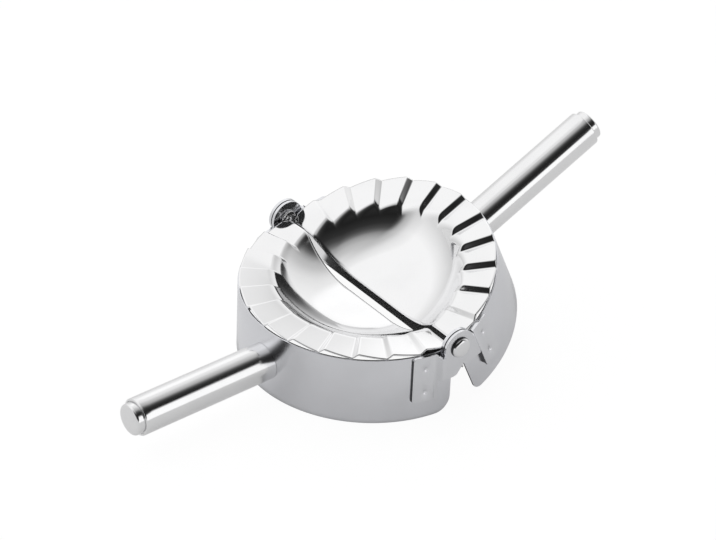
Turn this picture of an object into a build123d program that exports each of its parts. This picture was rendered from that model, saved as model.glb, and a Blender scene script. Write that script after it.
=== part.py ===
from build123d import *
from math import asin, cos, degrees, radians, sin, sqrt
import os

os.makedirs("parts", exist_ok=True)

# A hand press for filled pastries: two hinged half rings, each with a pleating tray on top
# and a tubular handle. Lengths are in millimetres, angles in degrees.
# The origin is on the floor below the middle of the hinge line; the hinge runs along Y.

# ---- driving dimensions -------------------------------------------------------------------

# half rings, whose lower edge also cuts the dough
ring_radius = 47.5
skirt_wall = 0.8
skirt_height = 27.5
end_gap = 0.4  # from the hinge line to each half's straight side
outer_corner_round = 6.0  # lower corner below an outer ear
inner_corner_round = 3.0  # lower corner below an inner ear

# stamped trays
sheet = 0.5
rim_ledge = 0.4  # how far the tray's rim lies on the skirt's top edge
bowl_radius = 35.5
bowl_depth = 8.0
bowl_corner_round = 20.0
shoulder_round = 2.0
lip_round = 1.5
flange_height = 17.5  # turned-down strip along the straight side
flange_clearance = 0.4  # from the flange's ends to the skirt's inner wall

# pleats
pleats = 12  # in each half
pleat_rise = 1.8
step_angle = 2.5  # width of the steep face of a pleat
inner_rise_share = 0.8  # rise at the bowl, as a share of the rise at the rim
pleat_run_in = 3.0  # how far a pleat runs down over the bowl's shoulder

# hinge
rest_fold = 23.5  # how far the folding half stands up from flat
closing_gap = 0.3  # between the two trays when the press is shut
plate = 1.2
weld_gap = 0.03
ear_radius = 6.5
ear_side_clearance = 0.7
running_clearance = 0.05
washer_thickness = 0.3
washer_radius = 5.2
rivet_radius = 2.0
rivet_head_radius = 3.9
rivet_head_height = 1.9
rivet_head_edge = 1.3  # height of the head's side, below its low dome
rivet_head_round = 1.6
rivet_tail_radius = 3.1
rivet_tail_height = 1.0
rivet_hollow_radius = 1.4
rivet_hollow_depth = 2.0
rivet_tail_round = 0.4
relief_clearance = 0.6

# hinge brackets
pad_far = 16.6  # from the hinge line to the far edge of the welded pad
pad_bottom = 7.8
pad_corner_round = 1.5
arm_bottom = 17.0
arm_top_drop = 0.7  # the arm's top edge lies this far below the skirt's
tongue_round = 2.0
joggle_length = 1.0
joggle_clearance = 0.5  # from the other half's ear to the joggle
weld_middle = 17.2  # height of the point midway between the two spot welds of a pad
weld_spread = 10.0
weld_dimple_radius = 1.6
weld_dimple_depth = 0.35

# handles
handle_height = 13.0
tube_radius = 7.0
tube_wall = 0.8
tube_length = 56.0
tube_end_round = 0.5
seat_gap = 0.05
cap_radius = 5.9
cap_reach = 2.8
cap_plug_length = 8.0
cap_groove = 0.4
cap_round = 0.8
press_gap = 0.02
insert_length = 14.0
screw_radius = 2.0
screw_reach = 11.0
screw_head_radius = 3.8
screw_head_height = 2.4
screw_head_round = 1.0
recess_width = 0.9
recess_length = 4.4
recess_depth = 1.3

# ---- dependent dimensions -----------------------------------------------------------------

skirt_inner = ring_radius - skirt_wall
tray_radius = skirt_inner + rim_ledge
low_corner = skirt_height + sheet
mean_pleat = low_corner + pleat_rise / 2
pivot_height = mean_pleat + closing_gap / 2
flange_bottom = low_corner - flange_height

inner_ear = ring_radius + ear_side_clearance
outer_ear = inner_ear + plate + washer_thickness + 2 * running_clearance
joggle_start = ear_radius + joggle_clearance
pad_near = joggle_start + joggle_length
relief_radius = rivet_tail_radius + relief_clearance
relief_depth = rivet_tail_height + relief_clearance + running_clearance

handle_end = ring_radius + tube_length
tube_bore = tube_radius - tube_wall
ample = 2 * ring_radius  # long enough to cut right through the part
trim_margin = 1.0  # how far a blank runs past the line it is trimmed to


# ---- frames -------------------------------------------------------------------------------


def base_frame():
    """The half that stands on the floor: X runs out along its handle, Z up."""
    return Plane(origin=(0, 0, 0), x_dir=(-1, 0, 0), z_dir=(0, 0, 1))


def folded_frame():
    """The other half, turned up about the pivot by the rest fold."""
    rise, run = sin(radians(rest_fold)), cos(radians(rest_fold))
    centre = (pivot_height * rise, 0, pivot_height * (1 - run))
    return Plane(origin=centre, x_dir=(run, 0, rise), z_dir=(-rise, 0, run))


def side_on(frame, y=0):
    """Plane square to the hinge line; its axes are the half's X and Z."""
    return Plane(frame.from_local_coords((0, y, 0)), x_dir=frame.x_dir, z_dir=-frame.y_dir)


def end_on(frame, x=0):
    """Plane square to the handle; its axes are the half's Y and Z, and it faces out."""
    return Plane(frame.from_local_coords((x, 0, 0)), x_dir=frame.y_dir, z_dir=frame.x_dir)


def radial(frame, angle):
    """Upright plane through the ring's centre; its axes are the radius and Z."""
    outward = frame.x_dir * cos(radians(angle)) + frame.y_dir * sin(radians(angle))
    return Plane(frame.origin, x_dir=outward, z_dir=outward.cross(frame.z_dir))


def along(frame, direction):
    """Axis through the frame's origin, to sort and turn about."""
    return Axis(frame.origin, direction)


def pivot_side(frame):
    """Side-on plane through the pivot, so that a circle at its origin is about the pivot."""
    return Plane(
        frame.from_local_coords((0, 0, pivot_height)), x_dir=frame.x_dir, z_dir=-frame.y_dir
    )


def rivet_relief(frame):
    """Round space at both ends of the hinge line that the rivet tails need."""
    with BuildPart() as relief:
        with BuildSketch(pivot_side(frame)):
            Circle(relief_radius)
        extrude(amount=ample, both=True)
        with BuildSketch(pivot_side(frame)):
            Circle(2 * relief_radius)
        extrude(amount=inner_ear - relief_depth, both=True, mode=Mode.SUBTRACT)
    return relief.part


# ---- skirt --------------------------------------------------------------------------------


def make_skirt(half):
    """Half ring of plain sheet with rounded lower corners and a hole for the handle screw."""
    frame = halves[half]
    relief = rivet_relief(frame)
    with BuildPart() as skirt:
        with BuildSketch(frame):
            Circle(ring_radius)
            Circle(skirt_inner, mode=Mode.SUBTRACT)
        extrude(amount=skirt_height)
        split(bisect_by=end_on(frame, end_gap))
        straight = skirt.edges().filter_by(along(frame, frame.y_dir))
        lower = straight.group_by(along(frame, frame.z_dir))[0]
        corners = lower.sort_by(along(frame, frame.y_dir))
        fillet(corners[0], radius=inner_corner_round)
        straight = skirt.edges().filter_by(along(frame, frame.y_dir))
        corners = straight.group_by(along(frame, frame.z_dir))[0]
        fillet(corners.sort_by(along(frame, frame.y_dir))[-1], radius=outer_corner_round)
        with BuildSketch(end_on(frame)):
            with Locations((0, handle_height)):
                Circle(screw_radius + running_clearance)
        extrude(amount=ample, mode=Mode.SUBTRACT)
        add(relief, mode=Mode.SUBTRACT)
    skirt.part.label = f"{half}_skirt"
    export_step(skirt.part, f"parts/{skirt.part.label}.step")


# ---- tray: the skilled piece --------------------------------------------------------------


def bowl_outline(inset):
    """Half section of the bowl's body: flat floor, wide corner, round shoulder.

    The two arcs keep their centres when the outline is drawn in by the sheet's thickness.
    """
    arcs = shoulder_round + bowl_corner_round
    across = sqrt(arcs**2 - (arcs - bowl_depth) ** 2)
    floor_radius = bowl_radius - across
    floor = low_corner - bowl_depth
    corner = (floor_radius, floor + bowl_corner_round)
    shoulder = (bowl_radius, low_corner - shoulder_round)
    lean = degrees(asin(across / arcs))
    foot = flange_bottom - inset
    with BuildLine() as outline:
        Polyline((0, floor - inset), (0, foot), (bowl_radius, foot), (bowl_radius, low_corner - inset))
        Line((0, floor - inset), (floor_radius, floor - inset))
        CenterArc(corner, bowl_corner_round + inset, -90, lean)
        CenterArc(shoulder, shoulder_round - inset, 90, lean)
    return outline.line


def bowl_form(frame, inset):
    """Body below the bowl, with a round edge along its straight side."""
    outline = bowl_outline(inset)
    with BuildPart() as form:
        with BuildSketch(side_on(frame)):
            add(outline)
            make_face()
        revolve(axis=along(frame, frame.z_dir), revolution_arc=360)
        split(bisect_by=end_on(frame, end_gap + inset))
        straight_side = form.faces().sort_by(along(frame, frame.x_dir))[0]
        upright = along(frame, frame.z_dir)
        outline = straight_side.edges().filter_by(upright, reverse=True).sort_by(upright)
        fillet(outline[1:], radius=lip_round - inset)
    return form.part


def pleat_corners():
    """Angle of each fold line, with its height as a share of the rise.

    Going round, a panel starts high, runs down to a low corner, and a steep face jumps up again.
    The first and last panels run on past the straight side, which trims them.
    """
    pitch = 180 / pleats
    panel = pitch - step_angle
    past = step_angle
    corners = []
    for number in range(pleats):
        start = -90 + number * pitch + step_angle / 2
        corners.append((start, 1.0))
        corners.append((start + panel, 0.0))
    first_angle, last_angle = corners[0][0], corners[-1][0]
    corners[0] = (first_angle - past, 1.0 + past / panel)
    corners[-1] = (last_angle + past, -past / panel)
    return corners


def pleat_form(frame, inset):
    """Body below the pleated rim: flat-sided wedges between radial sections."""
    mid_radius = bowl_radius + inset
    outer_radius = tray_radius + trim_margin
    slope = (1 - inner_rise_share) / (tray_radius - bowl_radius)
    outer_share = 1 + slope * (outer_radius - tray_radius)
    foot = flange_bottom - inset
    with BuildPart() as form:
        for angle, share in pleat_corners():
            with BuildSketch(radial(frame, angle)):
                with BuildLine():
                    Polyline(
                        (bowl_radius - pleat_run_in, foot),
                        (outer_radius, foot),
                        (outer_radius, low_corner - inset + pleat_rise * share * outer_share),
                        (mid_radius, low_corner - inset + pleat_rise * share * inner_rise_share),
                        (bowl_radius - pleat_run_in, low_corner - inset - pleat_run_in),
                        close=True,
                    )
                make_face()
        loft(ruled=True)
        split(bisect_by=end_on(frame, end_gap + inset))
    return form.part


def make_tray(half):
    """Thin stamping left between the tray's outer form and the same form one sheet further in."""
    frame = halves[half]
    outer_forms = [bowl_form(frame, 0), pleat_form(frame, 0)]
    inner_forms = [bowl_form(frame, sheet), pleat_form(frame, sheet)]
    relief = rivet_relief(frame)
    with BuildPart() as tray:
        add(outer_forms)
        add(inner_forms, mode=Mode.SUBTRACT)
        with BuildSketch(frame):
            Circle(tray_radius)
        extrude(amount=ample, mode=Mode.INTERSECT)
        with BuildSketch(frame):
            Circle(ring_radius)
            Circle(skirt_inner - flange_clearance, mode=Mode.SUBTRACT)
        extrude(amount=skirt_height, mode=Mode.SUBTRACT)
        add(relief, mode=Mode.SUBTRACT)
    tray.part.label = f"{half}_tray"
    export_step(tray.part, f"parts/{tray.part.label}.step")


# ---- hinge --------------------------------------------------------------------------------


def bracket_plan(side, ear):
    """Middle line of the bent strip seen from above: curved pad on the ring, joggle, flat ear."""
    middle_radius = ring_radius + weld_gap + plate / 2
    near_angle = degrees(asin(pad_near / middle_radius))
    far_angle = degrees(asin((pad_far + trim_margin) / middle_radius))
    ear_tip = -ear_radius - trim_margin
    ear_middle = side * (ear + plate / 2)
    with BuildLine() as plan:
        pad = CenterArc((0, 0), middle_radius, side * (90 - far_angle), side * (far_angle - near_angle))
        Polyline(pad @ 1, (joggle_start, ear_middle), (ear_tip, ear_middle))
    return plan.line


def weld_points(frame, side):
    """Centres of the balls that press the two spot-weld dimples into a pad."""
    reach = ring_radius + weld_gap + plate + weld_dimple_radius - weld_dimple_depth
    angle = asin((pad_near + pad_far) / 2 / reach)
    points = []
    for height in (weld_middle - weld_spread / 2, weld_middle + weld_spread / 2):
        points.append(frame.from_local_coords((reach * sin(angle), side * reach * cos(angle), height)))
    return points


def make_bracket(half, end, side, ear):
    """Hinge bracket: side is +1 or -1 along the half's Y, ear the near face of its ear."""
    frame = halves[half]
    arm_top = skirt_height - arm_top_drop
    tongue_tip = arm_bottom + tongue_round - pivot_height
    plan = bracket_plan(side, ear)
    with BuildPart() as bracket:
        with BuildSketch(frame.offset(pad_bottom)):
            trace(plan, line_width=plate)
        extrude(amount=pivot_height + ear_radius - pad_bottom)
        with BuildSketch(pivot_side(frame)):
            Circle(ear_radius)
            with Locations((tongue_round, tongue_tip)):
                Circle(tongue_round)
            make_hull()
            with Locations((tongue_round, arm_bottom - pivot_height)):
                Rectangle(pad_near, arm_top - arm_bottom, align=(Align.MIN, Align.MIN))
            with Locations((pad_near, pad_bottom - pivot_height)):
                pad = Rectangle(
                    pad_far - pad_near, skirt_height - pad_bottom, align=(Align.MIN, Align.MIN)
                )
            fillet(pad.vertices().group_by(Axis.X)[-1], radius=pad_corner_round)
        extrude(amount=ample, both=True, mode=Mode.INTERSECT)
        with BuildSketch(pivot_side(frame)):
            Circle(rivet_radius + running_clearance)
        extrude(amount=ample, both=True, mode=Mode.SUBTRACT)
        with Locations(weld_points(frame, side)):
            Sphere(weld_dimple_radius, mode=Mode.SUBTRACT)
    bracket.part.label = f"{half}_{end}_bracket"
    export_step(bracket.part, f"parts/{bracket.part.label}.step")


def pivot_axial(side):
    """Plane through the pivot: its X runs out along the hinge line, its Y is the radius."""
    return Plane((0, 0, pivot_height), x_dir=(0, side, 0), z_dir=(1, 0, 0))


def make_rivet(end, side):
    """Semi-tubular rivet: button head outside, rolled tail inside. Side is +1 or -1 along Y."""
    tail_face = inner_ear - running_clearance
    tail_end = tail_face - rivet_tail_height
    head_face = outer_ear + plate + running_clearance
    with BuildPart() as rivet:
        with BuildSketch(pivot_axial(side)) as profile:
            with BuildLine():
                outline = Polyline(
                    (head_face + rivet_head_height, 0),
                    (tail_end + rivet_hollow_depth, 0),
                    (tail_end + rivet_hollow_depth, rivet_hollow_radius),
                    (tail_end, rivet_hollow_radius),
                    (tail_end, rivet_tail_radius),
                    (tail_face, rivet_tail_radius),
                    (tail_face, rivet_radius),
                    (head_face, rivet_radius),
                    (head_face, rivet_head_radius),
                    (head_face + rivet_head_edge, rivet_head_radius),
                )
                rise = rivet_head_height - rivet_head_edge
                dome_radius = (rivet_head_radius**2 + rise**2) / (2 * rise)
                RadiusArc(outline @ 1, outline @ 0, dome_radius)
            make_face()
            rim = profile.vertices().group_by(Axis.Y)[-1].sort_by(Axis.X)[-1]
            fillet(rim, radius=rivet_head_round)
        revolve(axis=Axis((0, 0, pivot_height), (0, side, 0)))
        tail_edges = rivet.edges().group_by(Axis((0, 0, 0), (0, side, 0)))[0]
        fillet(tail_edges, radius=rivet_tail_round)
    rivet.part.label = f"{end}_rivet"
    export_step(rivet.part, f"parts/{rivet.part.label}.step")


def make_pivot_washer(end, side):
    """Thin washer between the two ears, whose friction holds the press part open."""
    face = inner_ear + plate + running_clearance
    with BuildPart() as washer:
        with BuildSketch(Plane((0, side * face, pivot_height), z_dir=(0, side, 0))):
            Circle(washer_radius)
            Circle(rivet_radius + running_clearance, mode=Mode.SUBTRACT)
        extrude(amount=washer_thickness)
    washer.part.label = f"{end}_pivot_washer"
    export_step(washer.part, f"parts/{washer.part.label}.step")


# ---- handle -------------------------------------------------------------------------------


def handle_end_on(frame, x=0):
    """Plane square to the handle, with its origin on the handle's axis."""
    centre = frame.from_local_coords((x, 0, handle_height))
    return Plane(centre, x_dir=frame.y_dir, z_dir=frame.x_dir)


def make_handle_tube(half):
    """Tube with a rounded far end; its near end is hollowed to sit on the ring."""
    frame = halves[half]
    with BuildPart() as tube:
        with BuildSketch(handle_end_on(frame)):
            Circle(tube_radius)
            Circle(tube_bore, mode=Mode.SUBTRACT)
        extrude(amount=handle_end)
        far_edges = tube.edges().group_by(along(frame, frame.x_dir))[-1]
        fillet(far_edges.sort_by(SortBy.RADIUS)[-1], radius=tube_end_round)
        with BuildSketch(frame):
            Circle(ring_radius + seat_gap)
        extrude(amount=handle_height + 2 * tube_radius, mode=Mode.SUBTRACT)
    tube.part.label = f"{half}_handle_tube"
    export_step(tube.part, f"parts/{tube.part.label}.step")


def make_handle_cap(half):
    """Solid plug pressed into the tube's far end, with a shallow groove round its face."""
    frame = halves[half]
    plug_radius = tube_bore - press_gap
    with BuildPart() as cap:
        with BuildSketch(handle_end_on(frame, handle_end - cap_plug_length)):
            Circle(plug_radius)
        extrude(amount=cap_plug_length - cap_groove)
        with BuildSketch(handle_end_on(frame, handle_end - cap_groove)):
            Circle(cap_radius)
        extrude(amount=cap_groove + cap_reach)
        fillet(cap.edges().group_by(along(frame, frame.x_dir))[-1], radius=cap_round)
    cap.part.label = f"{half}_handle_cap"
    export_step(cap.part, f"parts/{cap.part.label}.step")


def make_handle_insert(half):
    """Bush pressed into the tube's near end, which the handle screw pulls against the ring."""
    frame = halves[half]
    with BuildPart() as insert:
        with BuildSketch(handle_end_on(frame, ring_radius + seat_gap)):
            Circle(tube_bore - press_gap)
            Circle(screw_radius + running_clearance, mode=Mode.SUBTRACT)
        extrude(amount=insert_length)
    insert.part.label = f"{half}_handle_insert"
    export_step(insert.part, f"parts/{insert.part.label}.step")


def make_handle_screw(half):
    """Round-headed screw with a cross recess, put in from inside the ring."""
    frame = halves[half]
    seat = sqrt(skirt_inner**2 - screw_head_radius**2) - running_clearance
    with BuildPart() as screw:
        with BuildSketch(handle_end_on(frame, seat)):
            Circle(screw_head_radius)
        extrude(amount=-screw_head_height)
        fillet(screw.edges().group_by(along(frame, frame.x_dir))[0], radius=screw_head_round)
        with BuildSketch(handle_end_on(frame, seat)):
            Circle(screw_radius)
        extrude(amount=ring_radius + screw_reach - seat)
        with BuildSketch(handle_end_on(frame, seat - screw_head_height)):
            Rectangle(recess_length, recess_width)
            Rectangle(recess_width, recess_length)
        extrude(amount=recess_depth, mode=Mode.SUBTRACT)
    screw.part.label = f"{half}_handle_screw"
    export_step(screw.part, f"parts/{screw.part.label}.step")


# ---- the whole press ----------------------------------------------------------------------

halves = {"base": base_frame(), "folding": folded_frame()}

for half in halves:
    make_skirt(half)
    make_tray(half)
    make_handle_tube(half)
    make_handle_cap(half)
    make_handle_insert(half)
    make_handle_screw(half)

# the two halves are alike: each has its outer ear at one end and its inner ear at the other
make_bracket("base", "front", 1, outer_ear)
make_bracket("base", "rear", -1, inner_ear)
make_bracket("folding", "rear", 1, outer_ear)
make_bracket("folding", "front", -1, inner_ear)

for end, side in (("front", -1), ("rear", 1)):
    make_rivet(end, side)
    make_pivot_washer(end, side)
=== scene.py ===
# %% [markdown]
# # A hand press for filled pastries
#
# The press has two half rings of steel sheet, hinged together at both ends. Each carries a
# stamped tray with a pleated rim, and a tube for a handle. One half stands flat on the table
# and the other is folded up a little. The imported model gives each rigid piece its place, and
# this script dresses it: finer meshes where light plays on them, and a finish for every piece.

from math import acos, asin, cos, degrees, pi, radians, sin, sqrt

import bmesh
import bpy
from mathutils import Matrix, Vector


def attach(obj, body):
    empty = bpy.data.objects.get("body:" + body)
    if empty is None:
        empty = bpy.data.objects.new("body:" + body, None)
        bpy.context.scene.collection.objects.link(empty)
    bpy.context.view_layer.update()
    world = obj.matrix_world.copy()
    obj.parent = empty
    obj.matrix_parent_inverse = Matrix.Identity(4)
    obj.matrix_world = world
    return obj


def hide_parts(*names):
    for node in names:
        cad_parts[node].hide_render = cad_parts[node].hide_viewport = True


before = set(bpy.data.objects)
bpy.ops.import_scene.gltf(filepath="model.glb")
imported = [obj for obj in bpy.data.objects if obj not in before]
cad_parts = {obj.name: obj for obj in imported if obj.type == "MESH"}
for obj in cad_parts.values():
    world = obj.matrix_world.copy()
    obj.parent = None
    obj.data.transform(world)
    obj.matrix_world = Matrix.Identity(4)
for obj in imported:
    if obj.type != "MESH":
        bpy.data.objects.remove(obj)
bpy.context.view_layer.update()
scene = bpy.context.scene

# %% [markdown]
# ## Sizes
#
# Every piece is drawn once, in millimetres, in the frame of its own half: X runs out along the
# handle, Z is up, and the hinge line lies along Y. A matrix then carries it to its place. Both
# halves are alike, so the same drawing serves twice: turned half a turn for the base half, and
# tipped up about the pivot for the folding one. Drawing each half by itself would double the
# work and let the two drift apart.

# %% Sizes of the rings and the hinge, in millimetres
mm = 0.001
ring_radius = 47.5
ring_wall = 0.8
ring_height = 27.5
straight_side = 0.4  # from the hinge line to the straight side of a half
pivot_height = 29.05
rest_fold = radians(23.5)  # how far the folding half is tipped up at rest
print("rings", 2 * ring_radius, "mm across and", ring_height, "mm high")

# %% The two frames
turned = Matrix.Rotation(pi, 4, "Z")
lift = Matrix.Translation((0, 0, pivot_height))
tipped = lift @ Matrix.Rotation(-rest_fold, 4, "Y") @ lift.inverted()
halves = {"base": turned, "folding": tipped}
print("folding half's handle runs out along", tuple(round(v, 3) for v in tipped.col[0]))

# %% [markdown]
# ## Camera
#
# The camera stands at the left front and looks down at about 35 degrees. A long lens from more
# than a metre away keeps the two handles nearly parallel. A short lens close by would fit the
# press in as well, but the near handle would swell.

# %% Camera
azimuth, elevation, roll = radians(-130.004), radians(35.237), radians(2.418)
distance = 27.0 * ring_radius
across_view, up_view = 0.0657 * ring_radius, -0.5657 * ring_radius
lens_in_pixels, picture_width = 3511.65, 716

towards = Vector((cos(elevation) * cos(azimuth), cos(elevation) * sin(azimuth), sin(elevation)))
level = Vector((-sin(azimuth), cos(azimuth), 0))
upright = towards.cross(level)
view_right = cos(roll) * level + sin(roll) * upright
view_up = cos(roll) * upright - sin(roll) * level
stand = (distance * towards - across_view * view_right - up_view * view_up) * mm

camera = bpy.data.objects.new("camera", bpy.data.cameras.new("camera"))
turn = Matrix((view_right, view_up, towards)).transposed().to_4x4()
camera.matrix_world = Matrix.Translation(stand) @ turn
camera.data.sensor_width = 36
camera.data.lens = camera.data.sensor_width * lens_in_pixels / picture_width
camera.data.clip_end = 20
scene.collection.objects.link(camera)
scene.camera = camera
scene.view_settings.view_transform = "Standard"
print("camera at", tuple(round(v, 3) for v in stand), "lens", round(camera.data.lens, 1))

# %% [markdown]
# ## Formulas in node trees
#
# The light, the finishes and the pleats all follow formulas. A formula in nodes is a chain of
# Math nodes, which is long to write and hard to read. The small class below lets a socket be
# used like a number, so that `a * b + 1` adds the nodes by itself. It serves shader trees and
# geometry trees alike.


# %% A socket that can be written into formulas
def join(tree, value, socket):
    """Links a Field to the socket, or sets a plain value on it."""
    if isinstance(value, Field):
        tree.links.new(value.socket, socket)
    else:
        socket.default_value = value


class Field:
    """A socket of a node tree that works like a number in a formula."""

    def __init__(self, tree, socket):
        self.tree, self.socket = tree, socket

    def math(self, operation, *values):
        """A Math node of this operation, fed with fields or plain numbers."""
        node = self.tree.nodes.new("ShaderNodeMath")
        node.operation = operation
        for socket, value in zip(node.inputs, values):
            join(self.tree, value, socket)
        return Field(self.tree, node.outputs[0])

    def __add__(self, other):
        return self.math("ADD", self, other)

    def __sub__(self, other):
        return self.math("SUBTRACT", self, other)

    def __rsub__(self, other):
        return self.math("SUBTRACT", other, self)

    def __mul__(self, other):
        return self.math("MULTIPLY", self, other)

    def __truediv__(self, other):
        return self.math("DIVIDE", self, other)

    def __rtruediv__(self, other):
        return self.math("DIVIDE", other, self)

    def __gt__(self, other):
        return self.math("GREATER_THAN", self, other)

    def __lt__(self, other):
        return self.math("LESS_THAN", self, other)

    def least(self, other):
        return self.math("MINIMUM", self, other)

    def most(self, other):
        return self.math("MAXIMUM", self, other)

    def apply(self, operation):
        return self.math(operation, self)

    def clamped(self, low, high):
        return self.most(low).least(high)

    def eased(self, low, high):
        """0 below low, 1 above high, and a smooth rise between."""
        share = ((self - low) / (high - low)).clamped(0, 1)
        return share * share * (3 - share * 2)

    __radd__, __rmul__ = __add__, __mul__


def between(first, second, share):
    """First where share is 0, second where it is 1."""
    return first * (1 - share) + second * share


def split(tree, vector):
    """The three parts of a vector socket."""
    node = tree.nodes.new("ShaderNodeSeparateXYZ")
    tree.links.new(vector, node.inputs[0])
    return [Field(tree, output) for output in node.outputs]


def combine(tree, x, y, z):
    """A vector socket from three numbers."""
    node = tree.nodes.new("ShaderNodeCombineXYZ")
    for socket, value in zip(node.inputs, (x, y, z)):
        join(tree, value, socket)
    return node.outputs[0]


print("formulas ready")

# %% [markdown]
# ## Light
#
# Polished steel has hardly a colour of its own: it shows the room. A small product like this
# is shot in a white tent that is open, and so dark, on the side of the camera. Lamps and black
# cards could build that room. Here the World does it, because a dark opening that is only a
# rule on directions hides no view and casts no shadow. The opening is a soft dark band on the
# camera's side. Above it the tent brightens slowly, and below it a white strip stands on the
# table. The far wall is a little dimmer near the table, and one soft lamp shines through it.

# %% Bearing and height of every direction, in degrees
tent = bpy.data.worlds.new("tent")
scene.world = tent
tent.use_nodes = True
sky = tent.node_tree
sky.nodes.clear()
x, y, z = split(sky, sky.nodes.new("ShaderNodeTexCoord").outputs["Generated"])

to_degrees = 180 / pi
front = radians(-120)  # the way that the opening faces, from which bearings count
turn_x = x * cos(front) + y * sin(front)
turn_y = y * cos(front) - x * sin(front)
bearing = turn_x.math("ARCTAN2", turn_y, turn_x) * to_degrees
height = z.clamped(-1, 1).apply("ARCSINE") * to_degrees
level_share = (1 - z * z).most(0).apply("SQRT")
print("bearings count from", round(degrees(front)), "degrees")

# %% How far a direction lies from the dark opening
opening_left, opening_right = -59, 68
steep_end = -12  # left of it the opening's middle line falls faster
steep_fall, usual_fall, middle_height = 0.335, 0.115, 42
opening_height = (
    bearing.clamped(opening_left, steep_end) * steep_fall
    + bearing.clamped(opening_left, opening_right) * usual_fall
    + middle_height
)

# How fast the light comes back past each edge
from_left, from_right, from_above, from_below = 3.4, 1.14, 0.82, 0.68
past_left = (opening_left - bearing).most(0) * level_share * from_left
past_right = (bearing - opening_right).most(0) * level_share * from_right
above = (height - opening_height).most(0) * from_above
below = (opening_height - height).most(0) * from_below
sideways, upwards = past_left + past_right, above + below
away = (sideways * sideways + upwards * upwards).apply("SQRT")
print("the opening spans", opening_right - opening_left, "degrees")

# %% The tent, darkest in its opening
full_white, cool = 90, 1.01
tent_levels = [
    (0, 0.015), (10, 0.03), (16, 0.07), (20, 0.15), (26, 0.37), (32, 0.52), (40, 0.60),
    (48, 0.72), (56, 0.82), (66, 0.88), (78, 0.93), (full_white, 1.0),
]
ramp = sky.nodes.new("ShaderNodeValToRGB")
join(sky, away / full_white, ramp.inputs[0])
while len(ramp.color_ramp.elements) < len(tent_levels):
    ramp.color_ramp.elements.new(0.5)
for element, (angle, bright) in zip(ramp.color_ramp.elements, tent_levels):
    element.position = angle / full_white
    element.color = (bright, bright, bright * cool, 1)
tent_light = Field(sky, ramp.outputs[0])
print("levels of the tent:", len(tent_levels))

# %% The far wall near the table, a lamp, and the strip
far_wall = radians(110)
dim_height, dimming = 29, 0.33
facing_wall = (x * cos(far_wall) + y * sin(far_wall)).most(0)
towards_table = 1 - (height / dim_height).clamped(0, 1)
tent_light = tent_light * (1 - facing_wall * towards_table * dimming)

lamp_bearing, lamp_height = radians(47), radians(30)
lamp_inside, lamp_outside, lamp_light = 9, 17, 0.1
level_part = cos(lamp_height)
lamp = Vector((level_part * cos(lamp_bearing), level_part * sin(lamp_bearing), sin(lamp_height)))
in_line = (x * lamp.x + y * lamp.y + z * lamp.z).clamped(-1, 1)
from_lamp = in_line.apply("ARCCOSINE") * to_degrees
tent_light = tent_light + (1 - from_lamp.eased(lamp_inside, lamp_outside)) * lamp_light

strip_slope, strip_ahead, strip_lowest = 0.464, 4, 10  # these give the height of its upper edge
strip_blur, strip_white = 4, 1.1
strip_from, strip_full, strip_end = -20, 20, 84
strip_top = (bearing.least(opening_right) * strip_slope + strip_ahead).most(strip_lowest)
strip = 1 - (height - strip_top).eased(-strip_blur, strip_blur)
strip = strip * bearing.eased(strip_from, strip_full) * (1 - bearing.eased(opening_right, strip_end))
room = between(tent_light, strip_white, strip)

background = sky.nodes.new("ShaderNodeBackground")
join(sky, room, background.inputs["Color"])
background.inputs["Strength"].default_value = 1.0
output = sky.nodes.new("ShaderNodeOutputWorld")
sky.links.new(background.outputs[0], output.inputs[0])
print("tent nodes:", len(sky.nodes))

# %% [markdown]
# ## Table
#
# The table is a plain pale sheet. Seen by the camera it is nearly the white of the page, and
# the press keeps a faint shadow on it. In the metal it shows as an ordinary pale table, a
# little brighter towards the back. Under the press, for all rays but the camera's, its colour
# is painted dark and its glow is taken away: painted shade, where hardly any light gets in.
# An all-white table would be simpler, but the steel's underside would then have nothing to
# stand out against.

# %% Table
table_size = 6.0
reach = table_size / 2
hair = 0.0001  # the table lies this far below the press, so that they share no plane
table_mesh = bpy.data.meshes.new("table")
corners = [(-reach, -reach, 0), (reach, -reach, 0), (reach, reach, 0), (-reach, reach, 0)]
table_mesh.from_pydata(corners, [], [(0, 1, 2, 3)])
table = bpy.data.objects.new("table", table_mesh)
table.location.z = -hair
scene.collection.objects.link(table)
print("table", table_size, "m wide")

# %% Table paper
under_press, clear_of_it = 0.0455, 0.049  # metres from the middle of the press
# painted shade: under the press, all rays but the camera's see the paper this dark
painted_shade_paper, pale_paper = 0.15, 0.8
page_share, page_strength = 0.86, 1.1
glow_in_front, more_behind, glow_depth = 0.32, 0.13, 0.03

paper = bpy.data.materials.new("table paper")
paper.use_nodes = True
tree = paper.node_tree
tree.nodes.clear()
seen = tree.nodes.new("ShaderNodeLightPath").outputs
camera_ray, glossy_ray = Field(tree, seen["Is Camera Ray"]), Field(tree, seen["Is Glossy Ray"])
x, y, z = split(tree, tree.nodes.new("ShaderNodeTexCoord").outputs["Object"])
# 0 under the press, where the shade is painted, and 1 clear of it
in_the_clear = (x * x + y * y).apply("SQRT").eased(under_press, clear_of_it)
plain = tree.nodes.new("ShaderNodeBsdfDiffuse")
join(tree, between(painted_shade_paper, pale_paper, in_the_clear.most(camera_ray)), plain.inputs["Color"])
page = tree.nodes.new("ShaderNodeEmission")
page.inputs["Color"].default_value = (1, 1, 1, 1)
page.inputs["Strength"].default_value = page_strength
mixed = tree.nodes.new("ShaderNodeMixShader")
glow = y.eased(0, glow_depth) * more_behind + glow_in_front
join(tree, camera_ray * page_share + glossy_ray * in_the_clear * glow, mixed.inputs["Fac"])
tree.links.new(plain.outputs[0], mixed.inputs[1])
tree.links.new(page.outputs[0], mixed.inputs[2])
tree.links.new(mixed.outputs[0], tree.nodes.new("ShaderNodeOutputMaterial").inputs["Surface"])
table_mesh.materials.append(paper)
print("paper nodes:", len(tree.nodes))

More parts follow.
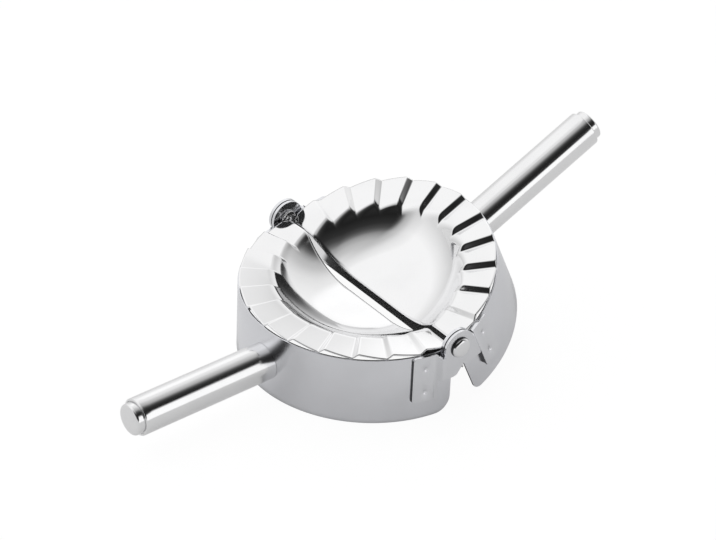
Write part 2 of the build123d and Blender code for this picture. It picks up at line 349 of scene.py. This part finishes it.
# %% [markdown]
# ## Finishes
#
# All the steel is the same alloy in different finishes: mirror-bright stamped trays, bright
# handles with the fine marks of a polishing belt, and satin rings and brackets. A flat colour
# with one roughness looks like plastic, so two effects are shared by all of them as node
# groups. Belt grain is fine lines that run one way and disturb the gloss. Handling is large
# faint patches where fingers and cloths have been. Each finish mixes them in its own measure.
#
# The patterns follow an attribute named "place", which holds each point's position in the
# frame of its own half, in millimetres. So the grain runs with the piece, tipped or not. The
# small parts that stay as packed have no such attribute, and their zinc reads Object
# coordinates instead.

# %% Belt grain and handling, as shared groups


def pattern_group(name, result, sizes):
    """A shader group that turns a place into one number. Gives the group and its ends."""
    group = bpy.data.node_groups.new(name, "ShaderNodeTree")
    group.interface.new_socket("Place", in_out="INPUT", socket_type="NodeSocketVector")
    for size, value in sizes.items():
        socket = group.interface.new_socket(size, in_out="INPUT", socket_type="NodeSocketFloat")
        socket.default_value = value
    group.interface.new_socket(result, in_out="OUTPUT", socket_type="NodeSocketFloat")
    return group, group.nodes.new("NodeGroupInput"), group.nodes.new("NodeGroupOutput")


def noise(tree, place, scale, detail):
    """Noise between 0 and 1."""
    node = tree.nodes.new("ShaderNodeTexNoise")
    tree.links.new(place, node.inputs["Vector"])
    join(tree, scale, node.inputs["Scale"])
    node.inputs["Detail"].default_value = detail
    return Field(tree, node.outputs["Fac"])


grain_group, given, made = pattern_group("belt grain", "Grain", {"Fineness": 1.0})
fineness = Field(grain_group, given.outputs["Fineness"])
fine_share, broad_share, broad_fineness = 0.65, 0.35, 0.2
fine = noise(grain_group, given.outputs["Place"], fineness, 3)
broad = noise(grain_group, given.outputs["Place"], fineness * broad_fineness, 2)
join(grain_group, fine * fine_share + broad * broad_share, made.inputs["Grain"])

usual_patch = 16.0
handling_group, given, made = pattern_group("handling", "Patches", {"Patch size": usual_patch})
patch_size = Field(handling_group, given.outputs["Patch size"])
cloud = noise(handling_group, given.outputs["Place"], 1 / patch_size, 2)
patch_from, patch_full = 0.38, 0.68
join(handling_group, cloud.eased(patch_from, patch_full), made.inputs["Patches"])
print("groups:", [group.name for group in bpy.data.node_groups])

# %% A steel finish


def group_node(tree, group, place, size):
    """The group placed in a material, fed with a place, with its size set."""
    node = tree.nodes.new("ShaderNodeGroup")
    node.node_tree = group
    tree.links.new(place, node.inputs["Place"])
    node.inputs[1].default_value = size
    return Field(tree, node.outputs[0])


def stretched(tree, place, scales):
    """The place with each axis scaled, so that noise on it is drawn out into lines."""
    node = tree.nodes.new("ShaderNodeVectorMath")
    node.operation = "MULTIPLY"
    tree.links.new(place, node.inputs[0])
    node.inputs[1].default_value = scales
    return node.outputs[0]


worn_shade = 0.955  # the colour is multiplied by it where the surface is worn
patch_weight, line_weight = 0.6, 0.4


def steel(name, colour, roughness, grain_lines, grain, patches, relief, as_packed=False):
    """A steel finish. grain_lines gives the lines per mm along each axis, grain and patches
    how much they change the roughness, and relief their height in millimetres."""
    finish = bpy.data.materials.new(name)
    finish.use_nodes = True
    tree = finish.node_tree
    shader = tree.nodes["Principled BSDF"]
    if as_packed:
        source = tree.nodes.new("ShaderNodeTexCoord")
        place = stretched(tree, source.outputs["Object"], (1 / mm, 1 / mm, 1 / mm))
    else:
        source = tree.nodes.new("ShaderNodeAttribute")
        source.attribute_name = "place"
        place = source.outputs["Vector"]
    lines = group_node(tree, grain_group, stretched(tree, place, grain_lines), 1.0)
    marks = group_node(tree, handling_group, place, usual_patch)
    join(tree, lines * grain + marks * patches + (roughness - grain / 2), shader.inputs["Roughness"])
    tint = tree.nodes.new("ShaderNodeMix")
    tint.data_type = "RGBA"
    join(tree, marks * patch_weight + lines * line_weight, tint.inputs["Factor"])
    tint.inputs["A"].default_value = (*colour, 1)
    tint.inputs["B"].default_value = (*[part * worn_shade for part in colour], 1)
    tree.links.new(tint.outputs["Result"], shader.inputs["Base Color"])
    bump = tree.nodes.new("ShaderNodeBump")
    bump.inputs["Strength"].default_value = 1.0
    bump.inputs["Distance"].default_value = relief * mm
    join(tree, lines, bump.inputs["Height"])
    tree.links.new(bump.outputs["Normal"], shader.inputs["Normal"])
    shader.inputs["Metallic"].default_value = 1.0
    return finish


# Name, colour, roughness, lines per mm along X, Y and Z, grain, patches and relief
tray_steel = steel("tray steel", (0.92, 0.92, 0.925), 0.06, (0.5, 4.0, 0.5), 0.02, 0.03, 0.0004)
ring_steel = steel("ring steel", (0.79, 0.795, 0.825), 0.20, (0.1, 0.1, 6.0), 0.06, 0.04, 0.002)
handle_steel = steel("handle steel", (0.90, 0.90, 0.905), 0.10, (6.0, 0.15, 0.15), 0.04, 0.03, 0.001)
hinge_steel = steel("hinge steel", (0.80, 0.805, 0.83), 0.18, (0.2, 0.2, 5.0), 0.06, 0.05, 0.001)
# A near-black finish: painted shade for the gaps beside pad ends and round rivet heads
painted_shade_steel = steel("painted shade steel", (0.10, 0.10, 0.105), 0.45, (1.0, 1.0, 1.0), 0.06, 0.06, 0.002)
rivet_steel = steel("rivet steel", (0.88, 0.88, 0.89), 0.06, (1.5, 1.5, 1.5), 0.04, 0.04, 0.001)
zinc = steel("bright zinc", (0.74, 0.75, 0.77), 0.25, (2.0, 2.0, 2.0), 0.08, 0.06, 0.002, as_packed=True)
print("finishes:", [finish.name for finish in bpy.data.materials if finish.name.endswith("steel")])

# %% [markdown]
# ## Pieces and their places
#
# A piece is drawn as a mesh in millimetres in its half's frame. `settle` notes each point's
# place for the finishes, carries the mesh to its place in metres, attaches it to the body it
# rides on, and hides the imported solid it stands for. Moving the object instead of the mesh
# would be simpler, but the export bakes with every object at the origin.

# %% Settle a piece


def note_places(mesh):
    """Keeps each point's place before the mesh is moved, for the finishes to read."""
    attribute = mesh.attributes.new("place", "FLOAT_VECTOR", "POINT")
    places = [part for vertex in mesh.vertices for part in vertex.co]
    attribute.data.foreach_set("vector", places)


def settle(name, mesh, half, finish, slot, *nodes, crease):
    """Turns a mesh in millimetres into a piece. With half None it is drawn in the frame of
    the whole press and rides on the base. Edges sharper than the crease stay crisp."""
    note_places(mesh)
    mesh.transform(Matrix.Scale(mm, 4) @ halves[half] if half else Matrix.Scale(mm, 4))
    mesh.materials.clear()
    mesh.materials.append(finish)
    mesh.shade_smooth()
    mesh.set_sharp_from_angle(angle=radians(crease))
    mesh.name = name
    piece = bpy.data.objects.new(name, mesh)
    scene.collection.objects.link(piece)
    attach(piece, "folding_half" if half == "folding" else "base_half")
    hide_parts(*nodes)
    print(name, len(mesh.polygons), "faces")
    return piece


print("ready to settle pieces")

# %% [markdown]
# ## Trays
#
# The tray is the skilled piece. It is stamped from thin sheet: a round-cornered bowl, a rim
# pressed into twelve overlapping pleats that crimp the dough, and a flange turned down along
# the straight side. It could be shaped by hand with a sculpting brush, but the pleats repeat
# exactly and each facet has to meet its neighbour along a straight radial crease. So the height
# of every point follows a rule, and Geometry Nodes work it out. The creases fall on lines of
# the grid, which keeps them crisp. The two halves share one stamping.

# %% The tray's tree and its sizes, in millimetres and degrees
tray_tree = bpy.data.node_groups.new("pleated tray", "GeometryNodeTree")
tray_sizes = {
    "Rim radius": 47.1,
    "Rim height": 28.0,
    "Bowl radius": 33.7,
    "Bowl depth": 9.1,
    "Bowl corner": 29.0,
    "Wall slope": 47.0,
    "Shoulder": 1.8,
    "Lip": 1.5,
    "Flange bottom": 12.3,
    "Straight side": 0.1,
    "Pleats": 12.0,
    "Pleat rise": 1.8,
    "Step angle": 2.5,
    "Rise at bowl": 1.12,
    "Fold softness": 0.25,
    "Hinge width": 45.4,
}
for size in tray_sizes:
    tray_tree.interface.new_socket(size, in_out="INPUT", socket_type="NodeSocketFloat")
tray_tree.interface.new_socket("Tray", in_out="OUTPUT", socket_type="NodeSocketGeometry")
given = tray_tree.nodes.new("NodeGroupInput")
size = {name: Field(tray_tree, given.outputs[name]) for name in tray_sizes}
print("tray sizes:", len(size))

# %% [markdown]
# The bowl's half section is a flat floor, a wide arc and a straight slope. The rim is a ring of
# panels that run down slowly and steep faces that jump up again. Each point takes the lower of
# the two heights, with the corner rounded off. Where a panel is high the bowl's wall reaches
# further out, so the bowl's edge is scalloped, as it is on the stamping.

# %% The height of a point of the tray


def lesser(first, second, blend):
    """The lower of two heights, with the corner between them rounded off."""
    share = ((second - first) / blend * 0.5 + 0.5).clamped(0, 1)
    return between(second, first, share) - blend * share * (1 - share)


def greater(first, second, blend):
    """The higher of two heights, with the corner between them rounded off."""
    share = ((first - second) / blend * 0.5 + 0.5).clamped(0, 1)
    return between(second, first, share) + blend * share * (1 - share)


def wall_height(size, radius):
    """The bowl's wall: a flat floor, a wide arc, and a straight slope that runs on upwards."""
    slope = size["Wall slope"] * (pi / 180)
    corner = size["Bowl corner"]
    arc_width = corner * slope.apply("SINE")
    arc_rise = corner * (1 - slope.apply("COSINE"))
    straight = (size["Bowl depth"] - arc_rise) / slope.apply("TANGENT")
    start = size["Bowl radius"] - straight - arc_width
    on_arc = (radius - start).clamped(0, arc_width)
    risen = corner - (corner * corner - on_arc * on_arc).most(0).apply("SQRT")
    beyond = (radius - start - arc_width).most(0) * slope.apply("TANGENT")
    return size["Rim height"] - size["Bowl depth"] + risen + beyond


never = 10  # added or taken away, it puts a height out of the running


def panel_height(size, radius, angle):
    """The pleated rim: panels that run down slowly, and steep faces that jump up again."""
    pitch = 180 / size["Pleats"]
    panel = pitch - size["Step angle"]
    from_first = angle + 90 - size["Step angle"] / 2
    last = size["Pleats"] - 1
    number = (from_first / pitch).apply("FLOOR").clamped(0, last)
    along = from_first - number * pitch
    down = 1 - along / panel
    up = (along - panel) / size["Step angle"] - (number > last - 0.5) * never
    next_down = 1 - (along - pitch) / panel
    last_up = 1 + along / size["Step angle"] + (number < 0.5) * never
    soft = size["Fold softness"]
    share = lesser(lesser(greater(down, up, soft), next_down, soft), last_up, soft)
    outwards = (radius - size["Bowl radius"]) / (size["Rim radius"] - size["Bowl radius"])
    swell = between(size["Rise at bowl"], 1, outwards)
    return size["Rim height"] + size["Pleat rise"] * share * swell


def tray_height(size, x, y):
    """The tray's height at x and y: the wall or the rim, turned over at the straight side."""
    radius = (x * x + y * y).apply("SQRT")
    angle = y.math("ARCTAN2", y, x) * to_degrees
    lip = size["Lip"]
    edge = (size["Straight side"] + lip - x).clamped(0, lip)
    turned_over = lip - (lip * lip - edge * edge).most(0).apply("SQRT")
    wall, panel = wall_height(size, radius), panel_height(size, radius, angle)
    return lesser(wall, panel, size["Shoulder"]) - turned_over


print("tray height is a rule of x and y")

# %% [markdown]
# Three grids cover the tray. A fan fills the bowl, a ring of true radial lines carries the
# pleats, and a band runs on from both to the straight side, over the lip and down the flange.
# Their edges share points, so merging them by distance leaves one sheet.

# %% Grids and their points
last_line = 85.625  # degrees; beyond it the band takes over from the radial lines
ring_lines, ring_rows, fan_rows, lip_rows, flange_rows = 548, 38, 20, 12, 6
ring_start = 27.0


def unit_grid(tree, columns, rows):
    """A grid and its two shares, each from 0 to 1."""
    node = tree.nodes.new("GeometryNodeMeshGrid")
    node.inputs["Size X"].default_value = 1
    node.inputs["Size Y"].default_value = 1
    node.inputs["Vertices X"].default_value = columns + 1
    node.inputs["Vertices Y"].default_value = rows + 1
    first, second = split(tree, tree.nodes.new("GeometryNodeInputPosition").outputs[0])[:2]
    return node.outputs["Mesh"], first + 0.5, second + 0.5


def moved(tree, mesh, x, y, z):
    """The mesh with every point set to x, y and z."""
    node = tree.nodes.new("GeometryNodeSetPosition")
    tree.links.new(mesh, node.inputs["Geometry"])
    tree.links.new(combine(tree, x, y, z), node.inputs["Position"])
    return node.outputs["Geometry"]


def drawn_in(size, y, share):
    """Draws the tray's corners in beside the rivets. The share is 1 at a corner."""
    too_wide = size["Rim radius"] * sin(radians(last_line)) - size["Hinge width"]
    return y - y.apply("SIGN") * too_wide * share


print("radial lines:", ring_lines + 1)

# %% The ring and the fan
sheets = []
rim_line = size["Rim radius"]

mesh, outwards, around = unit_grid(tray_tree, ring_rows, ring_lines)
angle = between(radians(-last_line), radians(last_line), around)
radius = between(ring_start, rim_line, outwards)
x, y = radius * angle.apply("COSINE"), radius * angle.apply("SINE")
sheets.append(moved(tray_tree, mesh, x, y, tray_height(size, x, y)))

fan_x = ring_start * cos(radians(last_line))
mesh, outwards, around = unit_grid(tray_tree, fan_rows, ring_lines)
angle = between(radians(-last_line), radians(last_line), around)
x = between(fan_x, angle.apply("COSINE") * ring_start, outwards)
y = outwards * angle.apply("SINE") * ring_start
sheets.append(moved(tray_tree, mesh, x, y, tray_height(size, x, y)))
print("grids:", len(sheets))

# %% The band to the straight side
# A column lies first along the fan and then the ring, and a row on the flange or over the lip
quarter = pi / 2
mesh, upwards, sideways = unit_grid(tray_tree, flange_rows + lip_rows, 2 * (fan_rows + ring_rows))
steps = (sideways * 2 - 1) * (fan_rows + ring_rows)
in_fan = (steps.apply("ABSOLUTE") / fan_rows).least(1)
in_ring = ((steps.apply("ABSOLUTE") - fan_rows) / ring_rows).most(0)
radius = between(ring_start, rim_line, in_ring)
start_x = radius * cos(radians(last_line))
start_y = steps.apply("SIGN") * radius * in_fan * sin(radians(last_line))
over_lip = ((upwards * (flange_rows + lip_rows) - flange_rows) / lip_rows).most(0)
towards_side = (over_lip * quarter).apply("COSINE")
x = between(start_x, size["Straight side"], towards_side)
y = drawn_in(size, start_y, in_ring * towards_side)
down_flange = (upwards * ((flange_rows + lip_rows) / flange_rows)).least(1)
z = between(size["Flange bottom"], tray_height(size, x, y), down_flange)
sheets.append(moved(tray_tree, mesh, x, y, z))
print("grids:", len(sheets))

# %% One stamping
merge_within = 0.01
joined = tray_tree.nodes.new("GeometryNodeJoinGeometry")
for part in sheets:
    tray_tree.links.new(part, joined.inputs[0])
chain = [joined]
for kind in ("MergeByDistance", "RealizeInstances", "SetMaterial"):
    node = tray_tree.nodes.new("GeometryNode" + kind)
    tray_tree.links.new(chain[-1].outputs[0], node.inputs["Geometry"])
    chain.append(node)
chain[1].inputs["Distance"].default_value = merge_within
chain[-1].inputs["Material"].default_value = tray_steel
tray_end = tray_tree.nodes.new("NodeGroupOutput")
tray_tree.links.new(chain[-1].outputs[0], tray_end.inputs["Tray"])


def run_tree(tree, sizes):
    """The mesh that a tree of Geometry Nodes makes with these sizes."""
    blank = bpy.data.objects.new("blank", bpy.data.meshes.new("blank"))
    scene.collection.objects.link(blank)
    nodes = blank.modifiers.new("tree", "NODES")
    nodes.node_group = tree
    for socket in tree.interface.items_tree:
        if socket.name in sizes:
            nodes[socket.identifier] = sizes[socket.name]
    shown = blank.evaluated_get(bpy.context.evaluated_depsgraph_get())
    mesh = bpy.data.meshes.new_from_object(shown)
    bpy.data.objects.remove(blank)
    return mesh


stamping = run_tree(tray_tree, tray_sizes)
print("stamping:", len(stamping.vertices), "points,", len(stamping.polygons), "faces")

# %% A tray for each half
sheet = 0.5
for half in halves:
    name, node = f"{half}_pleated_tray", f"{half}_tray"
    tray = settle(name, stamping.copy(), half, tray_steel, "tray_steel", node, crease=75)
    thickness = tray.modifiers.new("sheet", "SOLIDIFY")
    thickness.thickness = sheet * mm
    thickness.offset = -1

# %% [markdown]
# ## Rings
#
# Each ring is a strip of satin sheet bent to a half circle. Its lower corners are rounded off,
# and its upper ones are scooped out where the rivet tails go. A cylinder cut with booleans
# would give the shape but leave razor edges. Here the strip's section is carried round column
# by column, with its height taken from the corner's rule and its edges already softened.

# %% Sheets of quads


def mesh_of(build):
    """A mesh from a function that fills a bmesh, its faces turned outwards."""
    shape = bmesh.new()
    build(shape)
    bmesh.ops.remove_doubles(shape, verts=shape.verts, dist=1e-5)
    bmesh.ops.recalc_face_normals(shape, faces=shape.faces)
    mesh = bpy.data.meshes.new("piece")
    shape.to_mesh(mesh)
    shape.free()
    return mesh


def skin(shape, rows, wrapped=False):
    """Joins closed rows of points into a tube of quads; wrapped joins the last to the first."""
    grid = [[shape.verts.new(point) for point in row] for row in rows]
    for lower, upper in zip(grid, grid[1:] + grid[:1] if wrapped else grid[1:]):
        count = len(lower)
        for number in range(count):
            after = (number + 1) % count
            corners = (lower[number], lower[after], upper[after], upper[number])
            shape.faces.new(corners)
    return grid


print("ready to skin rows of points")

# %% The ring's edge
edge_round = 0.18
scoop_radius = 3.7
outer_corner, inner_corner = 6.0, 3.0


def ring_span(x, y):
    """Lowest and highest point of the strip at a place along it."""
    corner = outer_corner if y > 0 else inner_corner
    in_corner = max(0, corner - (x - straight_side))
    low = corner - sqrt(corner**2 - in_corner**2)
    high = ring_height
    if x < scoop_radius:
        high = min(high, pivot_height - sqrt(scoop_radius**2 - x**2))
    return low, high


def strip_section(inner, outer, low, high):
    """The strip's section as radius and height, with its four edges softened."""
    points = []
    corners = ((outer, high), (inner, high), (inner, low), (outer, low))
    for number, (radius, height) in enumerate(corners):
        middle = radius - edge_round if radius == outer else radius + edge_round
        level = height - edge_round if height == high else height + edge_round
        for step in range(4):
            angle = radians(90 * number + 30 * step)
            points.append((middle + edge_round * cos(angle), level + edge_round * sin(angle)))
    return points


print("strip from", ring_span(ring_radius, 0)[0], "to", ring_span(ring_radius, 0)[1], "mm high")

# %% The rings
fine_end = 9.0  # how far from the straight side the columns stay close together
fine_columns, middle_columns = 30, 96
fine_places = [
    straight_side + fine_end * (1 - cos(quarter * step / fine_columns)) for step in range(fine_columns)
]
fine_angles = [acos(x / ring_radius) for x in fine_places]
end_angle = acos((straight_side + fine_end) / ring_radius)
middle_angles = [end_angle * (1 - 2 * step / middle_columns) for step in range(middle_columns + 1)]
ring_angles = fine_angles + middle_angles + [-angle for angle in reversed(fine_angles)]


def ring_strip(shape):
    """Fills a bmesh with the strip, its two ends closed."""
    rows = []
    for angle in ring_angles:
        low, high = ring_span(ring_radius * cos(angle), ring_radius * sin(angle))
        section = strip_section(ring_radius - ring_wall, ring_radius, low, high)
        rows.append([(r * cos(angle), r * sin(angle), z) for r, z in section])
    grid = skin(shape, rows)
    for end in (grid[0], grid[-1]):
        shape.faces.new(end)


for half in halves:
    ring, node = mesh_of(ring_strip), f"{half}_skirt"
    settle(f"{half}_ring", ring, half, ring_steel, "ring_steel", node, crease=35)

# %% [markdown]
# ## Brackets
#
# The hinge brackets are cut from thicker strip: a pad spot-welded to the ring, a small joggle,
# and a round ear for the rivet. The imported solids already have the right bends, holes and weld
# dimples. A copy is cleaned of its triangles, so that only real edges are left, and a bevel
# softens those as tumbling does. A pad's upright ends are painted near black, as painted shade
# in the gap beside them. On the base half that is its far end, and on the folding half both.

# %% Imported solids drawn back


same_point, same_plane = 1e-4, radians(0.5)  # millimetres, and the angle between facets


def drawn_back(node, half):
    """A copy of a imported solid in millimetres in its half's frame, its facets merged."""
    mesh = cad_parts[node].data.copy()
    mesh.transform((Matrix.Scale(mm, 4) @ halves[half]).inverted())
    shape = bmesh.new()
    shape.from_mesh(mesh)
    bmesh.ops.remove_doubles(shape, verts=shape.verts, dist=same_point)
    bmesh.ops.dissolve_limit(
        shape,
        angle_limit=same_plane,
        verts=shape.verts,
        edges=shape.edges,
        use_dissolve_boundaries=False,
    )
    plain = bpy.data.meshes.new(node)
    shape.to_mesh(plain)
    shape.free()
    return plain


def soften(piece, width):
    """Rounds a piece's sharp edges, as deburring does. The width is in millimetres."""
    bevel = piece.modifiers.new("soft edges", "BEVEL")
    bevel.width = width * mm
    bevel.segments = 2
    bevel.limit_method = "ANGLE"
    bevel.angle_limit = radians(40)
    bevel.harden_normals = True


print("ready to draw solids back")

# %% Brackets
pad_near, pad_far = 8.0, 16.6  # from the hinge line to the pad's two ends
# painted shade on the pads' upright ends begins this far out along X, in millimetres
painted_shade_from = {"base": pad_far - 0.5, "folding": pad_near - 0.2}
along_x = 0.9  # the least share of a face's normal that runs along X
soft_edge = 0.12


def painted_shade_faces(mesh, half):
    """Which faces get the painted shade: those that face along X, out on the pad."""
    beyond = painted_shade_from[half]
    return [abs(face.normal.x) > along_x and face.center.x > beyond for face in mesh.polygons]


for half in halves:
    for end in ("front", "rear"):
        name, node = f"{half}_{end}_hinge_plate", f"{half}_{end}_bracket"
        plate_mesh = drawn_back(node, half)
        painted_shade = painted_shade_faces(plate_mesh, half)
        bracket = settle(name, plate_mesh, half, hinge_steel, "hinge_steel", node, crease=30)
        # the pad's upright ends are given the near-black finish as painted shade
        plate_mesh.materials.append(painted_shade_steel)
        plate_mesh.polygons.foreach_set("material_index", painted_shade)
        soften(bracket, soft_edge)

# %% [markdown]
# ## Rivets and caps
#
# Rivets and handle caps are turned shapes. Each is a profile carried round an axis. Blender's
# Screw modifier does that too, but leaves the poles open, so a short function closes them. A
# rivet's head is polished on its dome, and its side is painted near black as painted shade.

# %% Turned pieces


def arc_points(middle, half_sizes, first, last, steps):
    """Points of an arc in the plane of distance along the axis and radius."""
    points = []
    for step in range(steps + 1):
        angle = radians(first + (last - first) * step / steps)
        points.append((middle[0] + half_sizes[0] * cos(angle), middle[1] + half_sizes[1] * sin(angle)))
    return points


def turned_shape(profile, place, count=72):
    """A solid of revolution. place(along, radius, angle) gives a point of it."""

    def build(shape):
        rows = []
        for along, radius in profile:
            angles = [2 * pi * step / count for step in range(count)]
            rows.append([place(along, radius, angle) for angle in angles])
        skin(shape, rows)

    return mesh_of(build)


print("ready to turn profiles")

# %% Rivet sizes
rivet_radius = 2.0
inner_ear, plate, washer, play = 48.2, 1.2, 0.3, 0.05
head_face = inner_ear + 2 * plate + washer + 3 * play
tail_face = inner_ear - play
head_radius, head_height = 3.9, 1.9
head_edge, head_round = 1.3, 1.6  # the side below the dome, and the round between them
tail_radius, tail_height = 3.1, 1.0
hollow_radius, hollow_depth = 1.4, 2.0
mouth_round, hollow_bottom = 0.3, 0.5  # the hollow's rounded mouth and domed bottom
tail_roll = tail_height / 2
tail_end = tail_face - tail_height
side_tilt = 0.35  # faces of the head that tilt less than this belong to its side
print("rivet", round(head_face + head_height - tail_end, 2), "mm long")

# %% Rivets
dome_radius = (head_radius**2 + (head_height - head_edge) ** 2) / (2 * (head_height - head_edge))
dome_middle = head_face + head_height - dome_radius
round_radius = head_radius - head_round
round_height = dome_middle + sqrt((dome_radius - head_round) ** 2 - round_radius**2)
lean = degrees(asin(round_radius / (dome_radius - head_round)))
rivet_profile = arc_points((dome_middle, 0), (dome_radius, dome_radius), 0, lean, 6)
rivet_profile += arc_points((round_height, round_radius), (head_round, head_round), lean, 90, 14)[1:]
rivet_profile += [(head_face, head_radius), (head_face, rivet_radius)]
rivet_profile += [(tail_face, rivet_radius), (tail_face, tail_radius - tail_roll)]
roll_middle, roll_sizes = (tail_face - tail_roll, tail_radius - tail_roll), (tail_roll, tail_roll)
rivet_profile += arc_points(roll_middle, roll_sizes, 0, 180, 14)[1:]
mouth_middle = (tail_end + mouth_round, hollow_radius + mouth_round)
rivet_profile += arc_points(mouth_middle, (mouth_round, mouth_round), 180, 270, 5)
bottom_middle = (tail_end + hollow_depth - hollow_bottom, 0)
rivet_profile += arc_points(bottom_middle, (hollow_bottom, hollow_radius), 90, 4, 6)
rivet_profile += [(tail_end + hollow_depth, 0)]

for end, side in (("front", -1), ("rear", 1)):

    def beside(along, radius, angle, side=side):
        """A point about the hinge line, on the side of this rivet."""
        return (radius * cos(angle), side * along, pivot_height + radius * sin(angle))

    rivet = turned_shape(rivet_profile, beside)
    # the side of the head is given the near-black finish as painted shade
    painted_shade_side = [
        abs(face.normal.y) < side_tilt and abs(face.center.y) > head_face for face in rivet.polygons
    ]
    name, node = f"{end}_semi_tubular_rivet", f"{end}_rivet"
    settle(name, rivet, None, rivet_steel, "hinge_steel", node, crease=50)
    rivet.materials.append(painted_shade_steel)
    rivet.polygons.foreach_set("material_index", painted_shade_side)

# %% [markdown]
# ## Handles
#
# A handle is a bright tube whose near end is shaped to sit on the ring, like one pipe meeting
# another. Its length follows that saddle: each line of the tube starts where it meets the
# ring. A boolean cut would do it too, but would break up the long faces that carry the
# reflections. A turned cap closes the far end.

# %% Tube
handle_height, tube_radius, tube_wall = 13.0, 7.0, 0.8
handle_end = 103.5
end_round, small_edge = 0.5, 0.1
seat_gap = 0.05
seat_radius = ring_radius + seat_gap
tube_columns = 128


def tube_ring(radius, share, end=handle_end):
    """Points round the tube at a share of the way from the saddle to a plane at its end."""
    points = []
    for step in range(tube_columns):
        angle = 2 * pi * step / tube_columns
        y, z = radius * sin(angle), handle_height + radius * cos(angle)
        saddle = sqrt(seat_radius**2 - y**2)
        points.append((saddle + (end - saddle) * share, y, z))
    return points


def tube_shape(shape):
    """Fills a bmesh with the tube: its outside, its rounded end, and back along the bore."""
    bore = tube_radius - tube_wall
    # The saddle's outer edge is softened by two short rows
    lengths = [0.0018, 0.004, 0.02, 0.06, 0.12, 0.25, 0.4, 0.55, 0.7, 0.85, 0.95, 1]
    rows = [tube_ring(tube_radius - small_edge, 0), tube_ring(tube_radius - 0.3 * small_edge, 0.0006)]
    rows += [tube_ring(tube_radius, share, handle_end - end_round) for share in lengths]
    for step in range(1, 7):
        angle = quarter * step / 6
        radius = tube_radius - end_round * (1 - cos(angle))
        rows.append(tube_ring(radius, 1, handle_end - end_round * (1 - sin(angle))))
    rows += [tube_ring(bore + small_edge, 1), tube_ring(bore, 1, handle_end - small_edge)]
    rows += [tube_ring(bore, share) for share in (0.9, 0.5, 0)]
    skin(shape, rows, wrapped=True)


for half in halves:
    tube, node = mesh_of(tube_shape), f"{half}_handle_tube"
    settle(f"{half}_tube", tube, half, handle_steel, "handle_steel", node, crease=50)

# %% Cap
cap_radius, cap_reach, cap_round = 5.9, 2.8, 0.8
plug_radius, plug_length, plug_edge, groove = 6.18, 8.0, 0.08, 0.4
dish_radius, dish_edge, dish_depth = 3.2, 0.05, 0.08  # the cap's face is dished a little
support = 0.05  # a row this far before the round keeps the side straight
cap_face = handle_end + cap_reach
shoulder = handle_end - groove
cap_profile = [(handle_end - plug_length, 0), (handle_end - plug_length, plug_radius)]
cap_profile += [(shoulder - plug_edge, plug_radius), (shoulder, plug_radius - plug_edge)]
cap_profile += [(shoulder, cap_radius), (cap_face - cap_round - support, cap_radius)]
round_middle = (cap_face - cap_round, cap_radius - cap_round)
cap_profile += arc_points(round_middle, (cap_round, cap_round), 90, 0, 12)
cap_profile += [(cap_face - dish_edge, dish_radius), (cap_face - dish_depth, 0)]


def on_handle(along, radius, angle):
    """A point about the handle's axis."""
    return (along, radius * sin(angle), handle_height + radius * cos(angle))


for half in halves:
    cap = turned_shape(cap_profile, on_handle, count=96)
    settle(f"{half}_cap", cap, half, handle_steel, "handle_steel", f"{half}_handle_cap", crease=50)

# %% [markdown]
# ## Small parts kept as packed
#
# The screw, its bush and the washer between the ears have their true shapes in the packed
# model. They are plated fittings, so they only need a duller zinc finish.

# %% Zinc on the small parts
for name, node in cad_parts.items():
    if name.endswith(("screw", "insert", "washer")):
        for number in range(len(node.data.materials)):
            node.data.materials[number] = zinc
        print(name, "in zinc")
